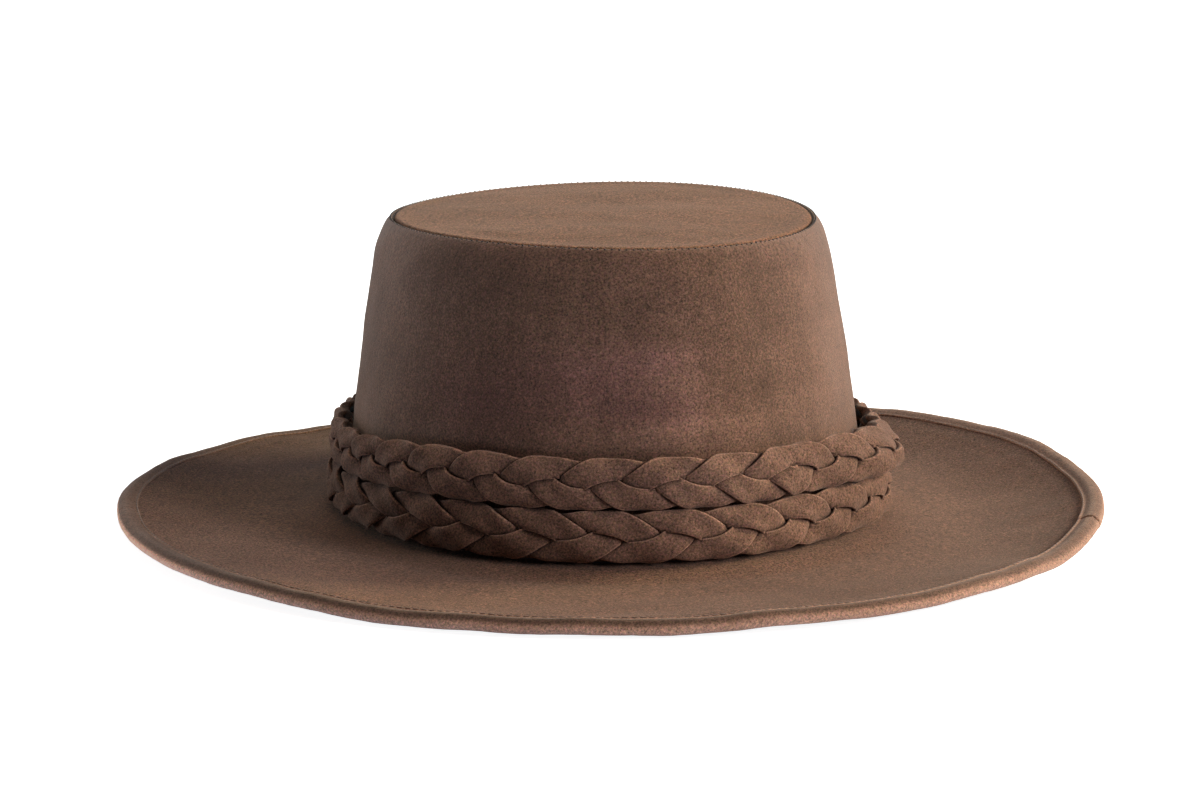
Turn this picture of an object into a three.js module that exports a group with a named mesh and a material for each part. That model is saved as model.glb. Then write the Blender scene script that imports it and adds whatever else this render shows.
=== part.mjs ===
// A suede gaucho hat with a flat topped oval crown, a wide bound brim and two flat three strand braids.
// Millimetres, +Z up. The front of the hat faces -Y, and the hat stands on the plane Z = 0.
// Every oval is walked by an angle from the front, which grows towards +X.

import * as THREE from "three";

// Crown
const BASE_HALF_WIDTH = 86;
const BASE_HALF_DEPTH = 102.3;
const TIP_HALF_WIDTH = 68.2;
const TIP_HALF_DEPTH = 84.5;
const CROWN_HEIGHT = 100.5;
const CROWN_LEAN = 1.1;
const CROWN_BULGE = 1;
const SHOULDER_WIDTH = 4.35;
const SHOULDER_HEIGHT = 12.9;
const CROWN_WALL = 2;
const TIP_DOME = 1.2;
const SEAM_ROUND = 0.8;
const SEAM_SIDE_RISE = 0.6;
const SEAM_TWIST = 0.85;

// Brim
const BRIM_HALF_WIDTH = 160.6;
const BRIM_HALF_DEPTH = 178.3;
const BRIM_FRONT_SPREAD = 0.042;
const BRIM_WALL = 3;
const EDGE_HEIGHT = 6.5;
const EDGE_SIDE_LIFT = 2.4;
const EDGE_RIGHT_LIFT = 2.8;
const EDGE_TWIST = 0.87;
const NECK_WIDTH = 20;
const NECK_LIFT = 3;
const FLAT_WIDTH = 14;
const DISH_CURVE = 1.7;

// Binding
const BINDING_WIDTH = 6.4;
const BINDING_WALL = 1.05;
const BINDING_FOLD = 1.6;
const BINDING_LEFT_JOIN = -87;
const BINDING_RIGHT_JOIN = 64;

// Braids
const BRAID_HEIGHT = 15.6;
const BRAID_DEPTH = 6.8;
const LOWER_PERIOD = 65;
const UPPER_PERIOD = 54.6;
const LOWER_START_ANGLE = 1.7;
const LOWER_FRONT_EASE = -0.0076;
const JOIN_ANGLE = 31.5;
const SWELL_ANGLE = 62;
const SWELL_HALF_ANGLE = 27;
const SWELL_OUT = 9.2;
const LOWER_SWELL_SHARE = 0.35;

// Fit and mesh
const CLEARANCE = 0.3;
const OVAL_STEPS = 52;
const STEPS_PER_PERIOD = 12;

const { abs, ceil, cos, max, min, round, sin, sqrt, PI } = Math;
const TURN = 2 * PI;
const DEGREE = PI / 180;

// Heights up the crown wall, as shares of the height below the shoulder and of the shoulder itself.
const CROWN_ROWS = [
  { wall: 0.3, shoulder: 0 },
  { wall: 0.65, shoulder: 0 },
  { wall: 1, shoulder: 0 },
  { wall: 1, shoulder: 0.45 },
  { wall: 1, shoulder: 0.76 },
  { wall: 1, shoulder: 0.96 },
];

// Rings of the crown's tip, from the middle of its underside over the rim to the middle of its top.
const TIP_RINGS = [
  { radius: 0.35, depth: 1 },
  { radius: 1, depth: 1 },
  { radius: 1, depth: 0.4 },
  { radius: 0.988, depth: 0 },
  { radius: 0.7, depth: 0 },
  { radius: 0.35, depth: 0 },
];

// Places across the brim: a share of the neck, then of the flat ring, then of the dished rest.
const BRIM_ROWS = [
  { neck: 0, flat: 0, dish: 0 },
  { neck: 0.5, flat: 0, dish: 0 },
  { neck: 1, flat: 0, dish: 0 },
  { neck: 1, flat: 1, dish: 0 },
  { neck: 1, flat: 1, dish: 0.4 },
  { neck: 1, flat: 1, dish: 0.72 },
  { neck: 1, flat: 1, dish: 1 },
];

// How a strand weaves: the size of each wave and of its lens shaped section, as shares of half the
// braid's height across it and of half its depth out from it. The tilt is the slope of its face.
const WEAVE = { sway: 0.69, swayThrice: 0.074, rise: 0.45, riseTwice: 0.164, tilt: 1.73 };
const LENS = { half: 0.44, widen: 0.188, face: 0.26, thick: 0.38 };
// The phase at which the lower braid starts, and both ways of the upper one from its join.
const START_PHASE = 90;

// A closed solid through sections that each hold the same number of points, in a ring or capped.
function loft(sections, outline) {
  const count = sections[0].length;
  const positions = sections.flat().flatMap((point) => point.toArray());
  const strips = outline ? sections.length - 1 : sections.length;
  const index = [];
  for (let s = 0; s < strips; s++) {
    const here = s * count;
    const next = ((s + 1) % sections.length) * count;
    for (let p = 0; p < count; p++) {
      const q = (p + 1) % count;
      index.push(here + p, next + p, next + q, here + p, next + q, here + q);
    }
  }
  if (outline) {
    const last = (sections.length - 1) * count;
    for (const [a, b, c] of THREE.ShapeUtils.triangulateShape(outline, [])) {
      const corners = [outline[a], outline[b], outline[c]];
      const turned = THREE.ShapeUtils.area(corners) * THREE.ShapeUtils.area(outline) < 0;
      const [d, e] = turned ? [c, b] : [b, c];
      index.push(a, d, e, last + a, last + e, last + d);
    }
  }
  const geometry = new THREE.BufferGeometry();
  geometry.setAttribute("position", new THREE.Float32BufferAttribute(positions, 3));
  geometry.setIndex(index);
  return geometry;
}

// The unit normal of a surface given by an angle and a way along, on the side of "angle cross along".
function normalAt(surface, angle, along, reach) {
  const step = 0.001;
  const forward = surface(angle + step, along).sub(surface(angle - step, along));
  const rise = surface(angle, min(along + step, reach)).sub(surface(angle, along - step));
  return forward.cross(rise).normalize();
}

// The tip seam is higher at +X than at -X, and twisted.
function seamWarp(angle) {
  return SEAM_SIDE_RISE * sin(angle) - SEAM_TWIST * sin(2 * angle);
}

// The outside of the crown wall.
function crownPoint(angle, height) {
  const up = height / CROWN_HEIGHT;
  const shoulder = max(0, (height - CROWN_HEIGHT + SHOULDER_HEIGHT) / SHOULDER_HEIGHT);
  const turnIn = SHOULDER_WIDTH * (1 - sqrt(max(0, 1 - shoulder * shoulder)));
  const fullness = CROWN_BULGE * 4 * up * (1 - up) - turnIn;
  const halfWidth = BASE_HALF_WIDTH * (1 - up) + (TIP_HALF_WIDTH + SHOULDER_WIDTH) * up + fullness;
  const halfDepth = BASE_HALF_DEPTH * (1 - up) + (TIP_HALF_DEPTH + SHOULDER_WIDTH) * up + fullness;
  const x = halfWidth * sin(angle) - CROWN_LEAN * up;
  return new THREE.Vector3(x, -halfDepth * cos(angle), height + seamWarp(angle) * up * up);
}

function crownNormal(angle, height) {
  return normalAt(crownPoint, angle, height, CROWN_HEIGHT);
}

// A point under the crown's outside by a depth.
function crownInner(angle, height, depth) {
  return crownPoint(angle, height).addScaledVector(crownNormal(angle, height), -depth);
}

function crownSide() {
  const foot = BRIM_WALL + NECK_LIFT + CLEARANCE;
  const shoulderFoot = CROWN_HEIGHT - SHOULDER_HEIGHT;
  const heights = CROWN_ROWS.map(
    (row) => foot + (shoulderFoot - foot) * row.wall + SHOULDER_HEIGHT * row.shoulder,
  );
  heights.unshift(foot);
  const sections = [];
  for (let step = 0; step < OVAL_STEPS; step++) {
    const angle = (TURN * step) / OVAL_STEPS;
    const outside = heights.map((height) => crownPoint(angle, height));
    const inside = heights.slice(0, -1).map((height) => crownInner(angle, height, CROWN_WALL));
    inside[0].z = outside[0].z;
    const seam = crownPoint(angle, CROWN_HEIGHT);
    const lip = seam.clone().setZ(seam.z - SEAM_ROUND);
    const lipUnder = seam.clone().setZ(seam.z - CROWN_WALL);
    sections.push([...outside, lip, lipUnder, ...inside.reverse()]);
  }
  return loft(sections);
}

function crownTip() {
  const rings = TIP_RINGS.map(({ radius, depth }) => {
    const ring = [];
    for (let step = 0; step < OVAL_STEPS; step++) {
      const angle = (TURN * step) / OVAL_STEPS;
      const x = (TIP_HALF_WIDTH - CLEARANCE) * radius * sin(angle) - CROWN_LEAN;
      const y = -(TIP_HALF_DEPTH - CLEARANCE) * radius * cos(angle);
      const dome = TIP_DOME * (1 - radius * radius);
      const z = CROWN_HEIGHT + seamWarp(angle) * radius * radius + dome - CROWN_WALL * depth;
      ring.push(new THREE.Vector3(x, y, z));
    }
    return ring.reverse();
  });
  const outline = rings[0].map((point) => new THREE.Vector2(point.x, point.y));
  return loft(rings, outline);
}

// The height of the middle of the brim's bound edge.
function edgeHeight(angle) {
  const lift = EDGE_RIGHT_LIFT * sin(angle) - EDGE_SIDE_LIFT * cos(2 * angle);
  return EDGE_HEIGHT + lift - EDGE_TWIST * sin(2 * angle);
}

// The brim's width at an angle, from the head opening to the bound edge.
function brimSpan(angle) {
  const halfWidth = BRIM_HALF_WIDTH * (1 + BRIM_FRONT_SPREAD * cos(angle));
  const outer = new THREE.Vector3(halfWidth * sin(angle), -BRIM_HALF_DEPTH * cos(angle), 0);
  const inner = crownInner(angle, 0, CROWN_WALL).setZ(0);
  return { inner, outer, width: inner.distanceTo(outer) };
}

// The middle of the brim's thickness, at a distance out from the head opening.
function brimPoint(angle, out) {
  const { inner, outer, width } = brimSpan(angle);
  const neck = 1 - THREE.MathUtils.smoothstep(out, 0, NECK_WIDTH);
  const dishFoot = NECK_WIDTH + FLAT_WIDTH;
  const dish = max(0, (out - dishFoot) / (width - dishFoot));
  const middle = BRIM_WALL / 2;
  const z = middle + NECK_LIFT * neck + (edgeHeight(angle) - middle) * dish ** DISH_CURVE;
  return inner.lerp(outer, out / width).setZ(z);
}

// A point above the brim's middle by a height square to it.
function brimOver(angle, out, over) {
  const normal = normalAt(brimPoint, angle, out, Infinity).negate();
  return brimPoint(angle, out).addScaledVector(normal, over);
}

function brim() {
  const sections = [];
  for (let step = 0; step < OVAL_STEPS; step++) {
    const angle = (TURN * step) / OVAL_STEPS;
    const dishWidth = brimSpan(angle).width - NECK_WIDTH - FLAT_WIDTH - BINDING_FOLD - CLEARANCE;
    const across = BRIM_ROWS.map(
      (row) => NECK_WIDTH * row.neck + FLAT_WIDTH * row.flat + dishWidth * row.dish,
    );
    const top = across.map((out) => brimOver(angle, out, BRIM_WALL / 2));
    const underside = across.map((out) => brimOver(angle, out, -BRIM_WALL / 2));
    sections.push([...top.reverse(), ...underside]);
  }
  return loft(sections);
}

// The folded strip in section: how far in from the edge, and how far over the brim's middle.
function bindingSection() {
  const channel = BRIM_WALL / 2 + CLEARANCE;
  const half = channel + BINDING_WALL;
  const nose = [90, 45, 0, -45, -90].map((turn) => ({
    inward: half * (1 - cos(turn * DEGREE)),
    over: half * sin(turn * DEGREE),
  }));
  return [
    { inward: BINDING_WIDTH, over: half },
    ...nose,
    { inward: BINDING_WIDTH, over: -half },
    { inward: BINDING_WIDTH, over: -channel },
    { inward: BINDING_FOLD, over: -channel },
    { inward: BINDING_FOLD, over: channel },
    { inward: BINDING_WIDTH, over: channel },
  ];
}

// A length of binding that runs from one angle to another, in steps that match the brim's.
function binding(from, to) {
  const section = bindingSection().reverse();
  const gapAngle = CLEARANCE / 2 / BRIM_HALF_WIDTH;
  const start = from * DEGREE + gapAngle;
  const end = to * DEGREE - gapAngle;
  const stepAngle = TURN / OVAL_STEPS;
  const angles = [start];
  for (let step = ceil(start / stepAngle); step * stepAngle < end; step++) {
    angles.push(step * stepAngle);
  }
  angles.push(end);
  const sections = angles.map((angle) => {
    const { width } = brimSpan(angle);
    return section.map(({ inward, over }) => brimOver(angle, width - inward, over));
  });
  const outline = section.map(({ inward, over }) => new THREE.Vector2(-inward, over));
  return loft(sections, outline);
}

// The way round the crown at a height: its length so far at each of many angles.
function wayRound(height) {
  const steps = 720;
  const way = [{ angle: 0, length: 0 }];
  let before = crownPoint(0, height);
  for (let step = 1; step <= steps; step++) {
    const angle = (TURN * step) / steps;
    const here = crownPoint(angle, height);
    way.push({ angle, length: way[step - 1].length + here.distanceTo(before) });
    before = here;
  }
  return way;
}

function angleAt(way, place) {
  const next = way.findIndex((mark) => mark.length > place);
  const [low, high] = [way[next - 1], way[next]];
  const part = (place - low.length) / (high.length - low.length);
  return low.angle + (high.angle - low.angle) * part;
}

// One section of a strand at a phase of its weave, in millimetres up and out from the braid's middle.
function strandSection(phase) {
  const sway = WEAVE.sway * sin(phase) + WEAVE.swayThrice * sin(3 * phase);
  const rise = -WEAVE.rise * sin(2 * phase) - WEAVE.riseTwice * sin(4 * phase);
  const slope = -WEAVE.tilt * cos(3 * phase);
  const half = LENS.half * (1 + LENS.widen * cos(2 * phase));
  const face = half * LENS.face;
  const lens = [[-half, 0], [-face, LENS.thick], [face, LENS.thick], [half, 0], [0, -LENS.thick]];
  return lens.map(([up, out]) => ({
    up: ((sway + up) * BRAID_HEIGHT) / 2,
    out: ((rise + up * slope + out) * BRAID_DEPTH) / 2,
  }));
}

// How far a braid swells away from the crown at an angle, as a share of the full swell.
function swell(angle) {
  const away = THREE.MathUtils.euclideanModulo(angle - SWELL_ANGLE * DEGREE + PI, TURN) - PI;
  const part = min(1, abs(away) / (SWELL_HALF_ANGLE * DEGREE));
  return (1 + cos(PI * part)) / 2;
}

// One strand of a braid: a closed loop through a section at each step of its weave. A negative ease
// draws the weave a little closer together where it starts, and lets it out on the far side.
function strand({ middle, start, phases, ease, swellOut }, lead) {
  const way = wayRound(middle);
  const total = way[way.length - 1].length;
  const depths = phases.flatMap((phase) => strandSection(phase).map(({ out }) => out));
  const rest = CLEARANCE - min(...depths);
  const sections = phases.map((phase, step) => {
    const share = step / phases.length;
    const place = (start(way) + total * (share + ease * sin(TURN * share))) % total;
    const angle = angleAt(way, place);
    const away = rest + swell(angle) * swellOut;
    return strandSection(phase + lead).map(({ up, out }) => {
      const height = middle + up;
      return crownPoint(angle, height).addScaledVector(crownNormal(angle, height), away + out);
    });
  });
  return loft(sections);
}

// The phases of a braid's steps once round the crown: the lower one runs one way all round, and the
// upper one runs both ways from its join and turns again at the far side.
function braids() {
  const foot = BRIM_WALL + NECK_LIFT + 2 * CLEARANCE;
  const lowerMiddle = foot + BRAID_HEIGHT / 2;
  const upperMiddle = lowerMiddle + BRAID_HEIGHT + CLEARANCE;
  const phaseStep = TURN / STEPS_PER_PERIOD;
  const length = (height) => wayRound(height).at(-1).length;
  const lowerSteps = round(length(lowerMiddle) / LOWER_PERIOD) * STEPS_PER_PERIOD;
  const upperHalf = round((length(upperMiddle) / UPPER_PERIOD) * (STEPS_PER_PERIOD / 2));
  const lowerPhases = [];
  for (let step = 0; step < lowerSteps; step++) lowerPhases.push(START_PHASE * DEGREE + step * phaseStep);
  const upperPhases = [];
  for (let step = 0; step < 2 * upperHalf; step++) {
    upperPhases.push(START_PHASE * DEGREE + min(step, 2 * upperHalf - step) * phaseStep);
  }
  const placeOf = (angle) => (way) => way.find((mark) => mark.angle >= angle * DEGREE).length;
  return {
    lower: {
      middle: lowerMiddle,
      start: placeOf(LOWER_START_ANGLE),
      phases: lowerPhases,
      ease: LOWER_FRONT_EASE,
      swellOut: SWELL_OUT * LOWER_SWELL_SHARE,
    },
    upper: {
      middle: upperMiddle,
      start: placeOf(JOIN_ANGLE),
      phases: upperPhases,
      ease: 0,
      swellOut: SWELL_OUT,
    },
  };
}

function suede(color, roughness) {
  return new THREE.MeshStandardMaterial({ color, roughness, metalness: 0, flatShading: true });
}

function piece(name, geometry, material) {
  const mesh = new THREE.Mesh(geometry, material);
  mesh.name = name;
  return mesh;
}

const crownSuede = suede(0x6f4d3d, 0.95);
const tipSuede = suede(0x7b5848, 0.95);
const brimSuede = suede(0x6b4839, 0.95);
const bindingSuede = suede(0x80604f, 0.95);
const braidSuede = suede(0x7a5543, 0.9);

const hat = new THREE.Group();
hat.add(piece("crown_side", crownSide(), crownSuede));
hat.add(piece("crown_tip", crownTip(), tipSuede));
hat.add(piece("brim", brim(), brimSuede));
hat.add(piece("binding_front", binding(BINDING_LEFT_JOIN, BINDING_RIGHT_JOIN), bindingSuede));
hat.add(piece("binding_back", binding(BINDING_RIGHT_JOIN, BINDING_LEFT_JOIN + TURN / DEGREE), bindingSuede));
for (const [level, braid] of Object.entries(braids())) {
  for (let number = 1; number <= 3; number++) {
    const lead = ((number - 1) * TURN) / 3;
    hat.add(piece(`${level}_braid_strand_${number}`, strand(braid, lead), braidSuede));
  }
}

export default hat;
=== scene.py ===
import math

import bpy
import numpy as np
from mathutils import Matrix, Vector


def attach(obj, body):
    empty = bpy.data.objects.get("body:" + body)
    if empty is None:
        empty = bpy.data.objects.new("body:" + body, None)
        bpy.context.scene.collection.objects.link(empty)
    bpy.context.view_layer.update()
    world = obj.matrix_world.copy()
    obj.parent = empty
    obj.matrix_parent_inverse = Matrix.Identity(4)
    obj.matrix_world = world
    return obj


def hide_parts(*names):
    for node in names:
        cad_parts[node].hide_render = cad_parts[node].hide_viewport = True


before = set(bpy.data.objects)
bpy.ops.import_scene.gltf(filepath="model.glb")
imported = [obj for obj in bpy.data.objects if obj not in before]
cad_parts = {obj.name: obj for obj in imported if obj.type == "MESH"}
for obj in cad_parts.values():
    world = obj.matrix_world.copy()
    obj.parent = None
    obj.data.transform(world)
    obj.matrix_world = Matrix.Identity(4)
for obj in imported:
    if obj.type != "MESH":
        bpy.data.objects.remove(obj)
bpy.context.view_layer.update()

# The hat's own sizes, the same values as in the part's source: lengths in millimetres, angles in degrees,
# and shares of other sizes. An angle round the hat starts at the front, -Y, and grows towards +X.
BASE_HALF_WIDTH = 86
BASE_HALF_DEPTH = 102.3
TIP_HALF_WIDTH = 68.2
TIP_HALF_DEPTH = 84.5
CROWN_HEIGHT = 100.5
CROWN_LEAN = 1.1
CROWN_BULGE = 1
SHOULDER_WIDTH = 4.35
SHOULDER_HEIGHT = 12.9
CROWN_WALL = 2
TIP_DOME = 1.2
SEAM_SIDE_RISE = 0.6
SEAM_TWIST = 0.85

BRIM_HALF_WIDTH = 160.6
BRIM_HALF_DEPTH = 178.3
BRIM_FRONT_SPREAD = 0.042
BRIM_WALL = 3
EDGE_HEIGHT = 6.5
EDGE_SIDE_LIFT = 2.4
EDGE_RIGHT_LIFT = 2.8
EDGE_TWIST = 0.87
NECK_WIDTH = 20
NECK_LIFT = 3
FLAT_WIDTH = 14
DISH_CURVE = 1.7

BINDING_HALF = 2.85
BINDING_FOLD = 1.6
BRIM_MEAN_RADIUS = 168
BINDING_LEFT_JOIN = -87
BINDING_RIGHT_JOIN = 64

BRAID_HEIGHT = 15.6
BRAID_DEPTH = 6.8
LOWER_PERIOD = 65
UPPER_PERIOD = 54.6
LOWER_START_ANGLE = 1.7
LOWER_FRONT_EASE = -0.0076
JOIN_ANGLE = 31.5
SWELL_ANGLE = 62
SWELL_HALF_ANGLE = 27
SWELL_OUT = 9.2
LOWER_SWELL_SHARE = 0.35
START_PHASE = 90
WEAVE_SWING = 0.665
WEAVE_SWING_FLAT = 0.074
WEAVE_RISE = 0.45
WEAVE_RISE_FLAT = 0.164
WEAVE_SLOPE = 1.73
STRAND_HALF = 0.522
STRAND_SPREAD = 0.18

CLEARANCE = 0.3
CROWN_FOOT = BRIM_WALL + NECK_LIFT + CLEARANCE
BRAID_FOOT = CROWN_FOOT + CLEARANCE
LOWER_MIDDLE = BRAID_FOOT + BRAID_HEIGHT / 2
UPPER_MIDDLE = LOWER_MIDDLE + BRAID_HEIGHT + CLEARANCE

# Sizes that only the dressed hat has, with the same units
SHOULDER_TURN = 75.5
LIP_ROUND = 0.7
LINING_DROP = 1.2
LINING_TURN_IN = 1.5
PUCKER = 0.07
PUCKERS_ROUND = 150
TIP_EDGE_ROUND = 1.0
TIP_INNER_SHARE = 0.985
TIP_TOP_DEPTH = 1.2
STITCH_RIDGE = 0.14
STITCH_RIDGE_IN = 12
STITCH_RIDGE_HALF = 1.6
LOOSE_FROM = 60
SECTION_SPACING = 1.6
SECTION_CROWDING = 0.84
JOIN_SLANT = 1.6
JOIN_REACH = 5
JOIN_LAP = 0.22
JOIN_LAP_REACH = 7
END_ROUND = 0.4
END_ROUND_REACH = 0.9
STITCH_PUFF = 0.05
SEAM_STITCH = 2.2
SEAM_STITCH_LENGTH = 0.75
SEAM_STITCH_THICK = 0.66
BINDING_STITCH = 2.6
BINDING_STITCH_LENGTH = 2.2
BINDING_STITCH_THICK = 0.4
BINDING_SEAM_IN = 5.95
STRAND_GAP = 0.14
STRAND_NIP = 0.03
STRAND_FRONT = 2.4
STRAND_BACK = 1.5
PRESS_FROM = 0.4
PRESS_SHARE = 0.46
EDGE_DROP = 0.55
SWELL_FILL = 2.2
SWELL_LEAN = 0.6
BRAID_SETTLE = 0.125
SETTLE_FROM = 40
SETTLE_FULL = 85

# How many rows of points each surface has across, and how many places each mesh or path has round the hat
WALL_ROWS = 36
SHOULDER_ROWS = 26
LIP_ROWS = 8
LINING_ROWS = 16
TIP_ROWS = 40
TIP_EDGE_ROWS = 7
BRIM_TOP_ROWS = 60
BRIM_UNDER_ROWS = 20
STRIP_ROWS = 31
CROWN_STEPS = 480
BRIM_STEPS = 540
SEAM_PATH_STEPS = 1440
BINDING_PATH_STEPS = 2160
WAY_STEPS = 2880
STATIONS = 840

MM = 0.001
TURN = 2 * math.pi
LEVEL = np.array([1, 1, 0])
STRAIGHT_UP = (0.0, 0.0, 1.0)

# Seeded unevenness: a broad wave and a finer one for each panel. Size and length are in millimetres.
CROWN_UNEVEN = [
    {"size": 0.34, "length": 46, "seed": 11},
    {"size": 0.11, "length": 15, "seed": 12},
]
TIP_UNEVEN = [
    {"size": 0.28, "length": 38, "seed": 21},
    {"size": 0.07, "length": 12, "seed": 22},
]
BRIM_UNEVEN = [
    {"size": 0.34, "length": 60, "seed": 31},
    {"size": 0.12, "length": 21, "seed": 32},
]

# Places on the crown painted lighter, darker or redder. Some are the nap's own brushed and redder patches,
# others are painted light and shade that even out how the lamps light the crown. Angles are in degrees
# round the hat, heights in millimetres, and wide and tall are half sizes in the same units.
NAP_AND_SHADE_PATCHES = [
    {"angle": -12, "height": 62, "wide": 16, "tall": 9, "shade": 0.2, "red": 0.75},
    {"angle": 3, "height": 68, "wide": 10, "tall": 4, "shade": 0.22, "red": 0.5},
    {"angle": -38, "height": 52, "wide": 16, "tall": 12, "shade": -0.12, "red": 0.6},
    {"angle": 0, "height": 52, "wide": 12, "tall": 5, "shade": -0.12, "red": 0.6},
    {"angle": 13, "height": 47, "wide": 17, "tall": 2.8, "shade": 0.6, "red": 0.0},
    {"angle": -6, "height": 43.5, "wide": 10, "tall": 2.2, "shade": 0.18, "red": 0.0},
    {"angle": 9, "height": 58, "wide": 1.8, "tall": 26, "shade": 0.13, "red": 0.0},
    {"angle": 11, "height": 51, "wide": 4, "tall": 8, "shade": 0.14, "red": 0.1},
    {"angle": 34, "height": 51, "wide": 14, "tall": 4, "shade": 0.14, "red": 0.0},
    {"angle": 36, "height": 40, "wide": 16, "tall": 3, "shade": -0.12, "red": 0.0},
    {"angle": 20, "height": 84, "wide": 20, "tall": 14, "shade": -0.12, "red": 0.0},
    {"angle": 38, "height": 74, "wide": 14, "tall": 28, "shade": -0.1, "red": 0.0},
    {"angle": -30, "height": 84, "wide": 22, "tall": 12, "shade": -0.1, "red": 0.0},
    {"angle": -45, "height": 94, "wide": 26, "tall": 6, "shade": -0.24, "red": 0.0},
    {"angle": 25, "height": 74, "wide": 12, "tall": 40, "shade": -0.15, "red": 0.0},
    {"angle": -8, "height": 76, "wide": 10, "tall": 36, "shade": 0.1, "red": 0.0},
    {"angle": 40, "height": 93, "wide": 14, "tall": 3.5, "shade": -0.12, "red": 0.0},
    {"angle": -80, "height": 70, "wide": 4, "tall": 20, "shade": -0.28, "red": 0.0},
]

# Where the worn brim's edge rides a little higher or lower than its even rise. Angle and wide are in
# degrees round the hat, lift in millimetres.
BRIM_LIFTS = [
    {"angle": -104, "wide": 31, "lift": 1.9},
    {"angle": 11, "wide": 14, "lift": 1.25},
    {"angle": 48, "wide": 11, "lift": -1.0},
    {"angle": 115, "wide": 28, "lift": 2.4},
]

# Where a panel is painted lighter or darker by its place round the hat. On the brim and the braids this is
# painted light and shade, and on the binding painted shade behind the left and a lighter face at the left.
# Angle and wide are in degrees.
BRIM_LIGHT_AND_SHADE = {
    "front_left": {"angle": -70, "wide": 38, "shade": 0.36},
    "braid_shadow_left": {"angle": -55, "wide": 35, "shade": -0.4},
    "back_left": {"angle": -135, "wide": 36, "shade": -0.36},
    "front_right": {"angle": 35, "wide": 25, "shade": -0.1},
}
BINDING_SHADE = {"angle": -135, "wide": 36, "shade": -0.4}
BINDING_LEFT = {"angle": -78, "wide": 26, "shade": 1.0}
BINDING_FAR_LEFT = {"angle": -95, "wide": 24, "shade": 1.0}
BINDING_RIGHT = {"angle": 62, "wide": 40, "shade": 1.0}
BRAID_SHADOW_LEFT = {"angle": -78, "wide": 38, "shade": 1.0}
BRAID_SHADE_RIGHT = {"angle": 55, "wide": 38, "shade": 0.15}


def waves(points, length, seed, count=14):
    """A smooth seeded unevenness from about -1 to 1 at points in millimetres, with waves of a length."""
    chance = np.random.default_rng(seed)
    total = np.zeros(points.shape[:-1])
    for _ in range(count):
        direction = chance.normal(size=3)
        direction *= TURN / (length * chance.uniform(0.7, 1.5)) / np.linalg.norm(direction)
        total += np.cos(points @ direction + chance.uniform(0, TURN))
    return total / math.sqrt(count)


def uneven_by(points, rows):
    """The sum of the waves in rows of a table."""
    return sum(row["size"] * waves(points, row["length"], row["seed"]) for row in rows)


def round_waves(share, number, seed, count=5):
    """The same round a loop, where the share goes from 0 to 1 and about a number of waves fit."""
    chance = np.random.default_rng(seed)
    total = np.zeros_like(share)
    for _ in range(count):
        turns = round(number * chance.uniform(0.6, 1.4))
        total += np.cos(TURN * turns * share + chance.uniform(0, TURN))
    return total / math.sqrt(count)


def degrees_round(angle):
    """An angle in degrees from -180 to 180, with 0 at the front."""
    return np.degrees(np.mod(angle + math.pi, TURN) - math.pi)


def bell(away, wide):
    """1 in the middle, falling off softly on both sides."""
    return np.exp(-((away / wide) ** 2))


def tone_and_shade_at(angle, place):
    """How much lighter or darker a row of a table paints the colour at an angle, mostly as painted light and
    shade.
    """
    return place["shade"] * bell(degrees_round(angle) - place["angle"], place["wide"])


def unit(vectors):
    return vectors / np.linalg.norm(vectors, axis=-1, keepdims=True)


def smooth(value, low, high):
    """0 up to low, 1 from high on, and a soft rise between them."""
    part = np.clip((value - low) / (high - low), 0, 1)
    return part * part * (3 - 2 * part)


def place_mesh(name, mesh):
    made = bpy.data.objects.new(name, mesh)
    bpy.context.scene.collection.objects.link(made)
    return made


def piece_from(name, points, ring, marks):
    """A mesh through points[row, column] in millimetres, with marks that its material reads. The last
    column joins the first. ring joins the last row to the first too, and without it both ends get a cap."""
    rows, columns = points.shape[:2]
    number = np.arange(rows * columns).reshape(rows, columns)
    next_row = np.roll(number, -1, 0)
    here, across = number, next_row
    if not ring:
        here, across = number[:-1], next_row[:-1]
    after_here, after_across = np.roll(here, -1, 1), np.roll(across, -1, 1)
    quads = np.stack([here, after_here, after_across, across], -1)
    faces = quads.reshape(-1, 4).tolist()
    if not ring:
        faces += [number[0][::-1].tolist(), number[-1].tolist()]
    mesh = bpy.data.meshes.new(name)
    mesh.from_pydata((points.reshape(-1, 3) * MM).tolist(), [], faces)
    for label, values in marks.items():
        layer = mesh.attributes.new(label, "FLOAT", "POINT")
        layer.data.foreach_set("value", np.broadcast_to(values, (rows, columns)).ravel().astype(np.float32))
    mesh.shade_smooth()
    mesh.validate()
    return place_mesh(name, mesh)


def dress(made, material, slot, *nodes):
    """Gives a piece its material and its body, and hides the CAD nodes that it stands for. Its slot is not
    used.
    """
    made.data.materials.append(material)
    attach(made, "root")
    if nodes:
        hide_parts(*nodes)


# Crown

def seam_warp(angle):
    """How far the seam round the tip rises or falls from level."""
    return SEAM_SIDE_RISE * np.sin(angle) - SEAM_TWIST * np.sin(2 * angle)


def crown_at(angle, height, turn_in):
    """A point of the crown wall's outside, turned in from the straight wall by a length."""
    up = height / CROWN_HEIGHT
    full = CROWN_BULGE * 4 * up * (1 - up) - turn_in
    half_width = BASE_HALF_WIDTH * (1 - up) + (TIP_HALF_WIDTH + SHOULDER_WIDTH) * up + full
    half_depth = BASE_HALF_DEPTH * (1 - up) + (TIP_HALF_DEPTH + SHOULDER_WIDTH) * up + full
    x = half_width * np.sin(angle) - CROWN_LEAN * up
    return np.stack([x, -half_depth * np.cos(angle), height + seam_warp(angle) * up * up], -1)


def crown_normal(angle, height):
    step = 0.001
    forward = crown_at(angle + step, height, 0) - crown_at(angle - step, height, 0)
    rise = crown_at(angle, height + step, 0) - crown_at(angle, height - step, 0)
    return unit(np.cross(forward, rise))


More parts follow.
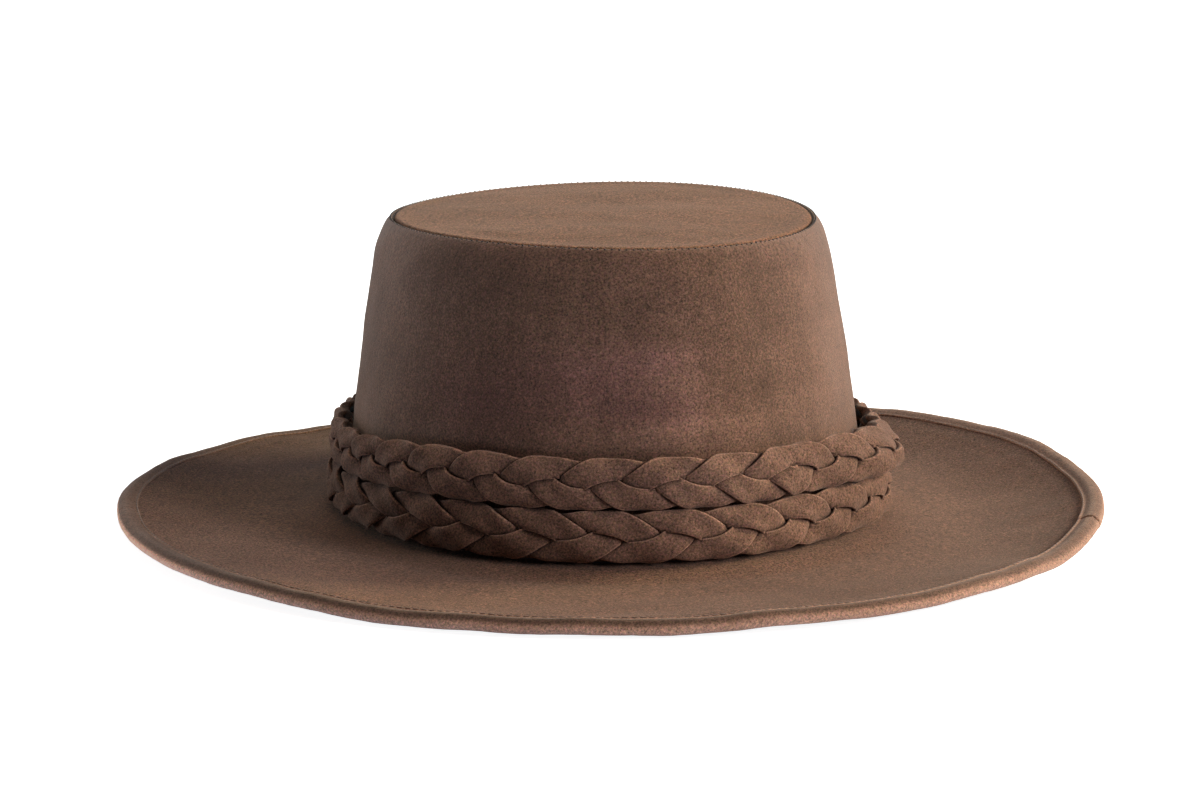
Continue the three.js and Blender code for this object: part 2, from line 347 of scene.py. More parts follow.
def crown_profile():
    """The outside of the wall from the foot over the shoulder to the bottom of the seam's groove."""
    shoulder_foot = CROWN_HEIGHT - SHOULDER_HEIGHT
    wall = [(height, 0.0) for height in np.linspace(CROWN_FOOT, shoulder_foot, WALL_ROWS)[:-1]]
    last = math.radians(SHOULDER_TURN)
    shoulder = [
        (shoulder_foot + SHOULDER_HEIGHT * math.sin(turn), SHOULDER_WIDTH * (1 - math.cos(turn)))
        for turn in np.linspace(0, last, SHOULDER_ROWS)
    ]
    slope = math.atan2(SHOULDER_HEIGHT * math.cos(last), SHOULDER_WIDTH * math.sin(last))
    height, turn_in = shoulder[-1]
    middle = (height - LIP_ROUND * math.cos(slope), turn_in + LIP_ROUND * math.sin(slope))
    lip = [
        (middle[0] + LIP_ROUND * math.cos(turn), middle[1] + LIP_ROUND * math.sin(turn))
        for turn in np.linspace(-slope, math.pi / 2, LIP_ROWS + 1)[1:]
    ]
    return wall + shoulder + lip


def crown_lining():
    """The inside of the wall from the seam down to the foot."""
    heights = np.linspace(CROWN_HEIGHT - CROWN_WALL - LINING_DROP, CROWN_FOOT, LINING_ROWS)
    share = np.clip((heights - CROWN_HEIGHT + SHOULDER_HEIGHT) / SHOULDER_HEIGHT, 0, 1)
    turns = SHOULDER_WIDTH * (1 - np.sqrt(1 - share**2)) + CROWN_WALL + LINING_TURN_IN * share**3
    # The seam allowance runs on under the tip's edge, so no light comes through the seam.
    ledge = np.array([(-2.28, 0.08), (-2.3, 3.0), (-3.1, 3.0)]) + [CROWN_HEIGHT, SHOULDER_WIDTH]
    return np.concatenate([ledge, np.stack([heights, turns], -1)])


def crown_side():
    angle = np.linspace(0, TURN, CROWN_STEPS, endpoint=False)[:, None]
    outside = np.array(crown_profile())
    heights, turns = outside[:, 0], outside[:, 1]
    points = crown_at(angle, heights[None], turns[None])
    inner_heights, inner_turns = crown_lining().T
    inner = crown_at(angle, inner_heights[None], inner_turns[None])
    # The wall isn't quite even: broad soft waves, finer ones, and small puckers under the tip's seam.
    sideways = unit(crown_at(angle, heights[None] * 0 + 40, 0.0) * LEVEL)
    ease = smooth(heights, CROWN_FOOT, 40) * (1 - 0.8 * smooth(heights, 92, 99))
    pucker = PUCKER * round_waves(angle / TURN, PUCKERS_ROUND, 13) * smooth(heights, 95, 99)
    points = points + sideways * (uneven_by(points, CROWN_UNEVEN) * ease + pucker)[..., None]
    inner_uneven = uneven_by(inner, CROWN_UNEVEN[:1]) * smooth(inner_heights, 5, 40)
    inner = inner + sideways[:, :1] * inner_uneven[..., None]
    columns = np.concatenate([points, inner], 1)
    past_lip = np.arange(len(heights)) - len(heights) + LIP_ROWS
    groove = smooth(past_lip, 0, 5)
    rim = bell(past_lip, 2.5)
    every_height = np.concatenate([heights, inner_heights])[None]
    shade, red = 0.0, 0.0
    for patch in NAP_AND_SHADE_PATCHES:
        across = bell(degrees_round(angle) - patch["angle"], patch["wide"])
        spread = across * bell(every_height - patch["height"], patch["tall"])
        shade = shade + patch["shade"] * spread
        red = red + patch["red"] * spread
    # Painted shade in the seam's groove and on the lining under it, and a painted highlight along the lip.
    marks = {
        "crease_shade": np.concatenate([groove, inner_heights > CROWN_HEIGHT - CROWN_WALL - 1])[None],
        "wear_and_highlight": np.concatenate([rim * 0.8, 0 * inner_heights])[None],
        "shade": shade,
        "red": red,
    }
    for label, values in marks.items():
        marks[label] = np.broadcast_to(values, columns.shape[:2])[:, ::-1]
    return piece_from("suede_crown_side", columns[:, ::-1], True, marks)


def crown_tip():
    angle = np.linspace(0, TURN, CROWN_STEPS, endpoint=False)[None]
    edge = TIP_HALF_WIDTH - CLEARANCE
    innermost = edge * TIP_INNER_SHARE
    # Each ring is a distance in from the rim and a depth under the top.
    top = [(distance, 0.0) for distance in np.linspace(innermost, TIP_EDGE_ROUND, TIP_ROWS)]
    turn = np.linspace(0, math.pi / 2, TIP_EDGE_ROWS + 1)[1:]
    rim = list(zip(TIP_EDGE_ROUND * (1 - np.sin(turn)), TIP_EDGE_ROUND * (1 - np.cos(turn))))
    under = [(0.0, 1.7), (0.6, CROWN_WALL), (edge * 0.4, CROWN_WALL), (innermost, CROWN_WALL)]
    rings = np.array(top + rim + under)
    share = 1 - rings[:, :1] / edge
    x = edge * share * np.sin(angle) - CROWN_LEAN
    y = -(TIP_HALF_DEPTH - CLEARANCE) * share * np.cos(angle)
    dome = TIP_DOME * (1 - share**2)
    z = CROWN_HEIGHT + seam_warp(angle) * share**2 + dome - rings[:, 1:]
    points = np.stack([x, y, z], -1)
    distance = rings[:, :1]
    upper = rings[:, 1:] < TIP_TOP_DEPTH
    # The seam allowance lifts the panel just inside its edge, and the panel dips a little beyond it.
    ridge = 0.22 * bell(distance - 2.2, 1.6) - 0.14 * bell(distance - 7, 4)
    points[..., 2] += np.where(upper, ridge, 0) + uneven_by(points, TIP_UNEVEN) * smooth(distance, 0, 14)
    # Painted shade under the rounded rim, and a painted highlight on the top just inside it.
    marks = {
        "crease_shade": np.where(distance < TIP_EDGE_ROUND, smooth(rings[:, 1:], 0.15, 0.8), 0)[::-1],
        "wear_and_highlight": (0.7 * bell(distance - 1.3, 1.1) * upper)[::-1],
    }
    return piece_from("suede_crown_tip", points[::-1], False, marks)


# Brim

def edge_height(angle):
    """The height of the middle of the brim's edge, before its seeded unevenness."""
    lift = EDGE_RIGHT_LIFT * np.sin(angle) - EDGE_SIDE_LIFT * np.cos(2 * angle)
    return EDGE_HEIGHT + lift - EDGE_TWIST * np.sin(2 * angle)


def brim_span(angle):
    """The brim's inner and outer edge at an angle, both at height 0, and the width between them."""
    half_width = BRIM_HALF_WIDTH * (1 + BRIM_FRONT_SPREAD * np.cos(angle))
    outer = np.stack([half_width * np.sin(angle), -BRIM_HALF_DEPTH * np.cos(angle), 0 * angle], -1)
    foot = np.zeros_like(angle)
    inner = (crown_at(angle, foot, 0.0) - CROWN_WALL * crown_normal(angle, foot)) * LEVEL
    return inner, outer, np.linalg.norm(outer - inner, axis=-1)


def brim_point(angle, out):
    """A point of the brim's middle surface, a distance out from its inner edge."""
    inner, outer, width = brim_span(angle)
    neck = 1 - smooth(out, 0, NECK_WIDTH)
    dish_foot = NECK_WIDTH + FLAT_WIDTH
    dish = np.maximum(0, (out - dish_foot) / (width - dish_foot))
    middle = BRIM_WALL / 2
    z = middle + NECK_LIFT * neck + (edge_height(angle) - middle) * dish**DISH_CURVE
    point = inner + (outer - inner) * (out / width)[..., None]
    point[..., 2] = z
    for place in BRIM_LIFTS:
        point[..., 2] += place["lift"] * bell(degrees_round(angle) - place["angle"], place["wide"]) * dish
    # A faint ridge runs round inside the binding, where the brim's own edge was stitched.
    point[..., 2] += STITCH_RIDGE * bell(width - out - STITCH_RIDGE_IN, STITCH_RIDGE_HALF)
    point[..., 2] += smooth(out, dish_foot, LOOSE_FROM) * uneven_by(point * LEVEL, BRIM_UNEVEN)
    return point


def brim_over(angle, out, over):
    """A point above the brim's middle by a height square to it."""
    step = 0.05
    forward = brim_point(angle + step / 100, out) - brim_point(angle - step / 100, out)
    outward = brim_point(angle, out + step) - brim_point(angle, out - step)
    return brim_point(angle, out) + unit(np.cross(outward, forward)) * np.asarray(over)[..., None]


def brim():
    angle = np.linspace(0, TURN, BRIM_STEPS, endpoint=False)[:, None]
    width = brim_span(angle)[2] - BINDING_FOLD - CLEARANCE
    share = np.linspace(0, 1, BRIM_TOP_ROWS)[None]
    top = brim_over(angle + 0 * share, width * share, 0 * share + BRIM_WALL / 2)
    lower = np.linspace(1, 0, BRIM_UNDER_ROWS)[None]
    under = brim_over(angle + 0 * lower, width * lower, 0 * lower - BRIM_WALL / 2)
    # Painted light and shade: lighter at the front left towards the edge, painted shadow by the braids' foot
    # at the front left, painted shade behind the left, and a little darker at the front right.
    reach = np.concatenate([share, lower], 1)
    shade = tone_and_shade_at(angle, BRIM_LIGHT_AND_SHADE["front_left"]) * smooth(reach, 0.05, 0.5)
    shade = shade + tone_and_shade_at(angle, BRIM_LIGHT_AND_SHADE["braid_shadow_left"]) * (1 - smooth(reach, 0.14, 0.5))
    shade = shade + tone_and_shade_at(angle, BRIM_LIGHT_AND_SHADE["back_left"]) + tone_and_shade_at(angle, BRIM_LIGHT_AND_SHADE["front_right"])
    points = np.concatenate([top, under], 1)
    return piece_from("suede_brim", points, True, {"shade": shade})


# The binding in section: how far in from the edge, how far over the brim's middle, and how much lighter
# or darker its colour is. It runs from its stitched edge on top, over a pressed band, round its full face.
BINDING_TOP = [
    (6.4, 1.58, 0.2), (6.5, 1.66, 0.5), (6.46, 1.82, 0.7), (6.3, 1.98, 0.7), (6.05, 2.06, 0.7),
    (5.8, 1.98, 0.7), (5.45, 1.76, 0.3), (4.95, 1.82, -0.83), (4.3, 1.95, -0.83), (3.7, 2.02, -0.83),
    (3.1, 2.02, -0.83), (2.5, 1.94, -0.83), (1.95, 1.78, -0.83), (1.45, 1.5, -0.83), (1.05, 1.12, -0.8),
    (0.74, 0.78, -0.65),
]
BINDING_FACE = [
    (0.45, 0.44, -0.2), (0.2, 0.05, 0.4), (0.02, -0.45, 0.9), (0.0, -1.0, 1.0), (0.22, -1.6, 1.0),
    (0.7, -2.15, 0.9), (1.4, -2.52, 0.7), (2.3, -2.7, 0.5), (3.3, -2.66, 0.3),
]
BINDING_UNDER = [
    (3.9, -2.56, 0.0), (4.6, -2.3, 0.0), (5.3, -1.96, 0.0), (5.8, -1.84, 0.0), (6.05, -1.9, 0.3),
    (6.3, -1.86, 0.4), (6.46, -1.76, 0.4), (6.5, -1.64, 0.4), (6.4, -1.58, 0.2),
]
BINDING_CHANNEL = [(6.2, -1.56, 0.0), (1.6, -1.56, 0.0), (1.6, 1.56, 0.0), (6.2, 1.56, 0.0)]


def binding(name, start, end, proud_start):
    """A length of binding between two angles in degrees. A proud start laps over its neighbour's end."""
    inward, over, wear_and_highlight = np.array(BINDING_TOP + BINDING_FACE + BINDING_UNDER + BINDING_CHANNEL).T
    shell = np.ones(len(inward))
    shell[-len(BINDING_CHANNEL):] = 0
    length = math.radians(end - start) * BRIM_MEAN_RADIUS
    even = np.linspace(0, 1, int(length / SECTION_SPACING))
    # The sections lie closer together near both ends.
    share = even - SECTION_CROWDING * np.sin(TURN * even) / TURN
    along = share * length
    from_end = np.minimum(along, length - along)
    gap = CLEARANCE / 2 / BRIM_MEAN_RADIUS
    angle = math.radians(start) + gap + (math.radians(end - start) - 2 * gap) * share[:, None]
    # A join runs a little slanted over the roll of the edge.
    slant = JOIN_SLANT * over / BINDING_HALF
    near_join = np.exp(-from_end / JOIN_REACH)
    angle = angle + slant[None] / BRIM_MEAN_RADIUS * near_join[:, None]
    proud = proud_start & (share < 0.5)
    lap = np.where(proud, JOIN_LAP * bell(from_end, JOIN_LAP_REACH), 0)
    # The strip's cut ends are rounded off.
    rounding = END_ROUND * (1 - np.sqrt(1 - (1 - np.clip(from_end / END_ROUND_REACH, 0, 1)) ** 2))
    # Between its stitches the strip puffs up a little, and nowhere is it quite even.
    stitched = bell(inward - 5.2, 0.9) * (over > 0)
    puff = STITCH_PUFF * np.cos(TURN * along / BINDING_STITCH)[:, None] * stitched[None]
    uneven = 0.05 * round_waves(share, length / 30, 41) + 0.03 * round_waves(share, length / 9, 42)
    grow = ((lap - rounding + uneven)[:, None] + puff) * shell[None]
    nose = np.clip((BINDING_HALF - inward) / BINDING_HALF, 0, 1)
    side = np.sign(over) * np.sqrt(1 - nose**2)
    width = brim_span(angle)[2]
    points = brim_over(angle, width - inward[None] + grow * nose[None], over[None] + grow * side[None])
    # Its pressed band is darkest at the front, and hardly darker than the brim at the right.
    band = (0.62 + 0.38 * np.cos(angle + 0.6)) * (1 - 0.7 * tone_and_shade_at(angle, BINDING_FAR_LEFT))
    # Its face is lighter at the left and a little darker at the right, and its stitched edge on top is
    # lighter at the front.
    face = 1 + 5.0 * tone_and_shade_at(angle, BINDING_LEFT) - 0.5 * tone_and_shade_at(angle, BINDING_RIGHT)
    stitched_edge = 0.45 + 0.55 * np.cos(angle)
    wear_and_highlight = wear_and_highlight * np.where(wear_and_highlight < 0, band, np.where(over > 1, stitched_edge, face))
    # Painted shade at the strip's cut ends, in the join's gap, and painted shade behind the left.
    marks = {
        "wear_and_highlight": wear_and_highlight + 0.35 * near_join[:, None],
        "crease_shade": 0.3 * np.exp(-from_end / 0.4)[:, None] * shell[None],
        "shade": tone_and_shade_at(angle, BINDING_SHADE),
    }
    return piece_from(name, points, False, marks)


def stitches(name, centres, forwards, ups, length, thick):
    """Small bead shaped stitches of thread, all in one mesh."""
    rings, sides = 5, 6
    turn = np.linspace(0, TURN, sides, endpoint=False)
    along = np.linspace(0, 1, rings)
    radius = np.sqrt(np.clip(1 - (2 * along - 1) ** 4, 0.06, 1)) * thick / 2
    vertices, faces = [], []
    asides = np.cross(forwards, ups)
    for number, (centre, forward, up, aside) in enumerate(zip(centres, forwards, ups, asides)):
        first = number * rings * sides
        for part, wide in zip(along, radius):
            middle = centre + forward * length * (part - 0.5)
            for way in turn:
                vertices.append(middle + wide * (up * math.sin(way) + aside * math.cos(way)))
        for ring in range(rings - 1):
            for side in range(sides):
                here = first + ring * sides + side
                beside = first + ring * sides + (side + 1) % sides
                faces.append((here, here + sides, beside + sides, beside))
        faces.append(tuple(first + side for side in range(sides)))
        faces.append(tuple(first + (rings - 1) * sides + side for side in reversed(range(sides))))
    mesh = bpy.data.meshes.new(name)
    mesh.from_pydata((np.array(vertices) * MM).tolist(), [], faces)
    mesh.shade_smooth()
    return place_mesh(name, mesh)


def even_places(path, spacing):
    """Places at even spacing along a closed path, each with its direction."""
    closed = np.concatenate([path, path[:1]])
    lengths = np.concatenate([[0], np.cumsum(np.linalg.norm(np.diff(closed, axis=0), axis=1))])
    count = round(lengths[-1] / spacing)
    spots = np.arange(count) / count * lengths[-1]

    def along(way):
        return np.stack([np.interp(way % lengths[-1], lengths, closed[:, axis]) for axis in range(3)], -1)

    places = along(spots)
    return places, unit(along(spots + 0.5) - places)


def seam_stitches():
    """Short slanted stitches in the groove between the crown's side and its tip."""
    angle = np.linspace(0, TURN, SEAM_PATH_STEPS, endpoint=False)
    path = crown_at(angle, np.full_like(angle, CROWN_HEIGHT - 0.3), SHOULDER_WIDTH - 0.85)
    centres, forwards = even_places(path, SEAM_STITCH)
    slanted = unit(forwards + 0.5 * unit(centres * LEVEL))
    ups = np.tile(STRAIGHT_UP, (len(centres), 1))
    return stitches("thread_crown_seam", centres, slanted, ups, SEAM_STITCH_LENGTH, SEAM_STITCH_THICK)


def binding_stitches(name, over):
    """Stitches along the binding's inner edge, at a height over or under the brim's middle."""
    angle = np.linspace(0, TURN, BINDING_PATH_STEPS, endpoint=False)
    width = brim_span(angle)[2]
    path = brim_over(angle, width - BINDING_SEAM_IN, np.full_like(angle, over))
    centres, forwards = even_places(path, BINDING_STITCH)
    ups = np.tile(STRAIGHT_UP, (len(centres), 1))
    return stitches(name, centres, forwards, ups, BINDING_STITCH_LENGTH, BINDING_STITCH_THICK)


# Braids

# The two braids. The swell is how far each stands off the crown at most, lean how much of that is taken
# back at its upper edge, and the left shadow how much painted shadow darkens it at the left.
BRAIDS = [
    {
        "level": "lower", "middle": LOWER_MIDDLE, "swell_out": SWELL_OUT * LOWER_SWELL_SHARE,
        "lean": 0.0, "shadow_left": 0.36, "seed": 50,
    },
    {
        "level": "upper", "middle": UPPER_MIDDLE, "swell_out": SWELL_OUT,
        "lean": SWELL_LEAN, "shadow_left": 0.14, "seed": 80,
    },
]


def way_round(height):
    """Angles once round the crown, and how far along its wall each one lies at a height."""
    angle = np.linspace(0, TURN, WAY_STEPS + 1)
    path = crown_at(angle, np.full_like(angle, height), 0.0)
    return angle, np.concatenate([[0], np.cumsum(np.linalg.norm(np.diff(path, axis=0), axis=1))])


def swell(angle):
    """How much of the swell, from 0 to 1, the braids have where they stand off the crown."""
    away = np.mod(angle - math.radians(SWELL_ANGLE) + math.pi, TURN) - math.pi
    part = np.minimum(1, np.abs(away) / math.radians(SWELL_HALF_ANGLE))
    return (1 + np.cos(math.pi * part)) / 2


def settle(angle):
    """The share of their height that the braids keep, because they sit lower at the sides and behind."""
    return 1 - BRAID_SETTLE * smooth(np.abs(degrees_round(angle)), SETTLE_FROM, SETTLE_FULL)


def lens(place, above, below, thick):
    """The thickness of a strip at places across it, where it reaches further above than below."""
    half = np.where(place > 0, above, below)
    share = np.clip(np.abs(place) / half, 0, 1)
    return thick * (1 - share**3.2) ** 0.5


def press_flat(out, up):
    """The strips are worked flat on the outside, and the braid rounds off towards its two edges."""
    flat = np.where(out > PRESS_FROM, PRESS_FROM + (out - PRESS_FROM) * PRESS_SHARE, out)
    rounded = EDGE_DROP * np.abs(up / (BRAID_HEIGHT / 2)) ** 4
    return flat - rounded * smooth(flat, PRESS_FROM - 1.2, PRESS_FROM)


def weave(level, middle):
    """The angle round the hat and the phase of the weave at each station, and the whole way round."""
    angles, lengths = way_round(middle)
    total = lengths[-1]
    share = np.arange(STATIONS) / STATIONS
    place = share
    if level == "lower":
        first_angle = LOWER_START_ANGLE
        place = share + LOWER_FRONT_EASE * np.sin(TURN * share)
        turns = TURN * round(total / LOWER_PERIOD) * share
    else:
        # Both ways from the join the weave runs on alike, and it turns round softly at each end.
        first_angle = JOIN_ANGLE
        away = np.sqrt((np.minimum(share, 1 - share) * total) ** 2 + 1) - 1
        turns = math.radians(60) * round(total / UPPER_PERIOD * 6) * away / total
    start = np.interp(math.radians(first_angle), angles, lengths)
    angle = np.interp((start + total * place) % total, lengths, angles)
    return angle, math.radians(START_PHASE) + turns, total


def strips(angle, phase, slope, total, seed):
    """Each strip's middle, depth, reach up and down, and thickness in front and behind."""
    share = np.arange(STATIONS) / STATIONS
    half_height = BRAID_HEIGHT / 2
    made = []
    for number in range(3):
        turn = phase + number * TURN / 3
        loose = round_waves(share, total / 30, seed + number)
        full = round_waves(share, total / 26, seed + number + 10)
        centre = (WEAVE_SWING * np.sin(turn) + WEAVE_SWING_FLAT * np.sin(3 * turn)) * half_height
        rise = (-WEAVE_RISE * np.sin(2 * turn) - WEAVE_RISE_FLAT * np.sin(4 * turn)) * BRAID_DEPTH / 2
        half = (STRAND_HALF + 0.008 * loose) * (1 + STRAND_SPREAD * np.cos(2 * turn))
        # Where a strip dives under the next leaf its outer side is drawn in, and a little where it returns.
        half_turn = np.degrees(np.mod(turn, math.pi))
        tail = 0.17 * bell(half_turn - 45, 24) + 0.03 * bell(half_turn - 118, 20)
        made.append({
            "centre": centre[:, None],
            "depth": (rise - slope * centre)[:, None],
            "above": ((half - tail * (np.sin(turn) > 0)) * half_height)[:, None],
            "below": ((half - tail * (np.sin(turn) < 0)) * half_height)[:, None],
            "front": ((STRAND_FRONT - 0.4 * np.sin(2 * turn)) * (1 + 0.08 * full))[:, None],
            "back": (STRAND_BACK + 0.1 * full + SWELL_FILL * swell(angle))[:, None],
        })
    return made


def pressed_face(strip, others, up, slope, side):
    """How far out a strip's front or back lies where its neighbours press on it, and their painted shadow.
    """
    mine, theirs = ("front", "back") if side == 1 else ("back", "front")
    thick = lens(up - strip["centre"], strip["above"], strip["below"], strip[mine])
    cover_shadow = 0 * up
    for other in others:
        apart = side * (other["depth"] - strip["depth"])
        there = up - other["centre"]
        past = np.maximum(0, np.abs(there) - np.where(there > 0, other["above"], other["below"]))
        opposite = lens(there, other["above"], other["below"], other[theirs])
        room = np.maximum(STRAND_NIP, apart - STRAND_GAP + 4 * past)
        pressed = thick * np.minimum(1, room / np.maximum(thick + opposite, 1e-6))
        thick = np.where(apart > 0, pressed, thick)
        cover_shadow = np.where(apart > 0, np.maximum(cover_shadow, bell(past, 0.45)), cover_shadow)
    out = strip["depth"] + slope * up + side * thick
    return press_flat(out, up), cover_shadow


def braid(level, middle, swell_out, lean, shadow_left, seed):
    """Three padded strips woven flat, which press against each other where they cross."""
    angle, phase, total = weave(level, middle)
    slope = -WEAVE_SLOPE * np.cos(3 * phase) * BRAID_DEPTH / BRAID_HEIGHT
    woven = strips(angle, phase, slope, total, seed)
    across = np.sin(np.linspace(-0.5, 0.5, STRIP_ROWS) * math.pi)[None]
    sections = []
    for strip in woven:
        others = [other for other in woven if other is not strip]
        up = strip["centre"] + np.where(across > 0, strip["above"], strip["below"]) * across
        front, cover_shadow = pressed_face(strip, others, up, slope[:, None], 1)
        behind, _ = pressed_face(strip, others, up, slope[:, None], -1)
        sections.append((up, front, behind, cover_shadow))
    # The braid stands just clear of the crown where it doesn't swell.
    unswollen = (swell(angle) == 0)[:, None]
    deepest = min(behind.min(where=unswollen, initial=0.0) for _, _, behind, _ in sections)
    rest = CLEARANCE - deepest
    away = swell(angle)[:, None] * swell_out
    edge = bell(np.abs(across) - 0.94, 0.04)
    made = []
    for number, (up, front, behind, cover_shadow) in enumerate(sections, 1):
        ups = np.concatenate([up, up[:, -2:0:-1]], 1)
        outs = np.concatenate([front, behind[:, -2:0:-1]], 1)
        turns = angle[:, None] + 0 * ups
        heights = BRAID_FOOT + (middle + ups - BRAID_FOOT) * settle(turns)
        # The swollen part leans back to the crown with its upper edge.
        far = rest + away * (1 - lean * smooth(ups / (BRAID_HEIGHT / 2), -0.3, 1)) + outs
        points = crown_at(turns, heights, 0.0) + crown_normal(turns, heights) * far[..., None]
        hidden = np.ones_like(behind[:, -2:0:-1])
        # Painted light and shade: a strip is lighter where it stands out most and darker where it sinks
        # back, and painted shadow darkens the braids at the left and a little at the right.
        stand_out_light = 0.28 * (smooth(outs, -1.6, 1.0) - 0.65)
        side_shade = shadow_left * tone_and_shade_at(turns, BRAID_SHADOW_LEFT) + tone_and_shade_at(turns, BRAID_SHADE_RIGHT)
        # Painted highlights along each strip's edges where no neighbour covers them, painted shadow beside a
        # covering neighbour's edge, and painted shade over the hidden back.
        marks = {
            "wear_and_highlight": np.concatenate([edge * (1 - cover_shadow), 0 * hidden], 1)[:, ::-1],
            "crease_shade": np.concatenate([cover_shadow, 0.3 * hidden], 1)[:, ::-1],
            "shade": (stand_out_light - side_shade)[:, ::-1],
        }
        made.append(piece_from(f"suede_{level}_strand_{number}", points[:, ::-1], True, marks))
    return made


# Materials

# The noises that make up the nap. Scales are for places in metres.
NOISES = {
    "mottle": {"scale": 26, "detail": 5, "rough": 0.6, "stretch": (1, 1, 1)},
    "cloud": {"scale": 75, "detail": 4, "rough": 0.65, "stretch": (1, 1, 1)},
    "middling": {"scale": 520, "detail": 3, "rough": 0.6, "stretch": (1, 1, 1)},
    "fibre": {"scale": 1500, "detail": 4, "rough": 0.8, "stretch": (1, 1, 1)},
    "brushed_down": {"scale": 120, "detail": 3, "rough": 0.6, "stretch": (1, 1, 0.12)},
    "brushed_across": {"scale": 60, "detail": 4, "rough": 0.65, "stretch": (0.25, 0.25, 1.4)},
}

# The suedes: the two colours of the mottled nap, and how strong the grain, the brush marks, the clouds in
# the nap, the painted wear and highlights and the sheen are.
SUEDES = [
    {
        "name": "crown_suede", "dark": (0.122, 0.07, 0.048), "light": (0.172, 0.099, 0.069),
        "grain": 1.0, "streak": 0.24, "nap": 1.1, "wear_and_highlight": 0.35, "sheen": 0.44,
    },
    {
        "name": "tip_suede", "dark": (0.17, 0.093, 0.056), "light": (0.204, 0.112, 0.068),
        "grain": 1.6, "streak": 0.0, "nap": 0.9, "wear_and_highlight": 0.35, "sheen": 0.14,
    },
    {
        "name": "brim_suede", "dark": (0.131, 0.073, 0.048), "light": (0.162, 0.092, 0.061),
        "grain": 1.45, "streak": 0.0, "nap": 0.5, "wear_and_highlight": 0.35, "sheen": 0.14,
    },
    {
        "name": "binding_suede", "dark": (0.228, 0.134, 0.092), "light": (0.28, 0.168, 0.118),
        "grain": 0.85, "streak": 0.0, "nap": 0.5, "wear_and_highlight": 0.72, "sheen": 0.26,
    },
    {
        "name": "braid_suede", "dark": (0.137, 0.079, 0.056), "light": (0.196, 0.116, 0.082),
        "grain": 1.0, "streak": 0.0, "nap": 1.1, "wear_and_highlight": 0.7, "sheen": 0.18,
    },
]


def set_inputs(node, values):
    for label, value in values.items():
        node.inputs[label].default_value = value


def new_material(name):
    """A material with its nodes, their links and its main shader."""
    material = bpy.data.materials.new(name)
    material.use_nodes = True
    nodes = material.node_tree.nodes
    return material, nodes, material.node_tree.links, nodes["Principled BSDF"]


def suede(name, dark, light, grain, streak, nap, wear_and_highlight, sheen):
    """Brushed suede: mottled nap, fine grain, worn edges, and painted highlights, crease shade and shade."""
    material, nodes, links, shader = new_material(name)
    set_inputs(shader, {"Roughness": 0.95, "Specular IOR Level": 0.12})
    shader.inputs["Sheen Weight"].default_value = sheen
    set_inputs(shader, {"Sheen Roughness": 0.45, "Sheen Tint": (1.0, 0.86, 0.76, 1)})
    place = nodes.new("ShaderNodeTexCoord")

    def noise(kind):
        row = NOISES[kind]
        mapping = nodes.new("ShaderNodeMapping")
        mapping.inputs["Scale"].default_value = row["stretch"]
        links.new(place.outputs["Object"], mapping.inputs["Vector"])
        texture = nodes.new("ShaderNodeTexNoise")
        set_inputs(texture, {"Scale": row["scale"], "Detail": row["detail"], "Roughness": row["rough"]})
        links.new(mapping.outputs["Vector"], texture.inputs["Vector"])
        return texture

    def math_node(kind, first, second):
        node = nodes.new("ShaderNodeMath")
        node.operation = kind
        for socket, value in zip(node.inputs, (first, second)):
            if isinstance(value, (int, float)):
                socket.default_value = value
            else:
                links.new(value, socket)
        return node.outputs[0]

    def swing(value, size):
        """A factor round 1 from a noise value round 0.5."""
        return math_node("ADD", math_node("MULTIPLY", value, 2 * size), 1 - size)

    def attribute(label):
        node = nodes.new("ShaderNodeAttribute")
        node.attribute_name = label
        return node.outputs["Fac"]

    def mark(label, size):
        """A factor of 1 where a mark is 0, that grows with the mark by a size."""
        return math_node("ADD", math_node("MULTIPLY", attribute(label), size), 1.0)

    def mixed(kind, factor, first, second):
        node = nodes.new("ShaderNodeMix")
        node.data_type = "RGBA"
        node.blend_type = kind
        for socket, value in ((node.inputs[0], factor), (node.inputs[6], first), (node.inputs[7], second)):
            if isinstance(value, (int, float, tuple)):
                socket.default_value = value
            else:
                links.new(value, socket)
        return node.outputs[2]

    ramp = nodes.new("ShaderNodeValToRGB")
    for stop, position, shade in zip(ramp.color_ramp.elements, (0.36, 0.66), (dark, light)):
        stop.position = position
        stop.color = (*shade, 1)
    links.new(noise("mottle").outputs["Fac"], ramp.inputs["Fac"])
    color = mixed("MULTIPLY", attribute("red"), ramp.outputs["Color"], (1.0, 0.9, 1.1, 1))
    # The fibres are of several browns, so the finest grain has its own colours.
    fibres = noise("fibre")
    color = mixed("OVERLAY", 0.5 * grain, color, fibres.outputs["Color"])
    fine = fibres.outputs["Fac"]
    middling = noise("middling").outputs["Fac"]
    factor = math_node("MULTIPLY", swing(fine, 2.2 * grain), swing(middling, 0.28 * grain))
    factor = math_node("MULTIPLY", factor, swing(noise("cloud").outputs["Fac"], 0.22 * nap))
    if streak:
        for kind in ("brushed_down", "brushed_across"):
            factor = math_node("MULTIPLY", factor, swing(noise(kind).outputs["Fac"], streak))
    # Painted marks: wear and highlights, painted shade in creases, and painted light and shade by place.
    for label, size in (("wear_and_highlight", wear_and_highlight), ("crease_shade", -0.75), ("shade", 1.0)):
        factor = math_node("MULTIPLY", factor, mark(label, size))
    scaled = nodes.new("ShaderNodeVectorMath")
    scaled.operation = "SCALE"
    links.new(color, scaled.inputs[0])
    links.new(factor, scaled.inputs["Scale"])
    links.new(scaled.outputs["Vector"], shader.inputs["Base Color"])
    relief = math_node("ADD", fine, math_node("MULTIPLY", middling, 1.5))
    bump = nodes.new("ShaderNodeBump")
    set_inputs(bump, {"Strength": 0.5, "Distance": 0.00025})
    links.new(relief, bump.inputs["Height"])
    links.new(bump.outputs["Normal"], shader.inputs["Normal"])
    return material


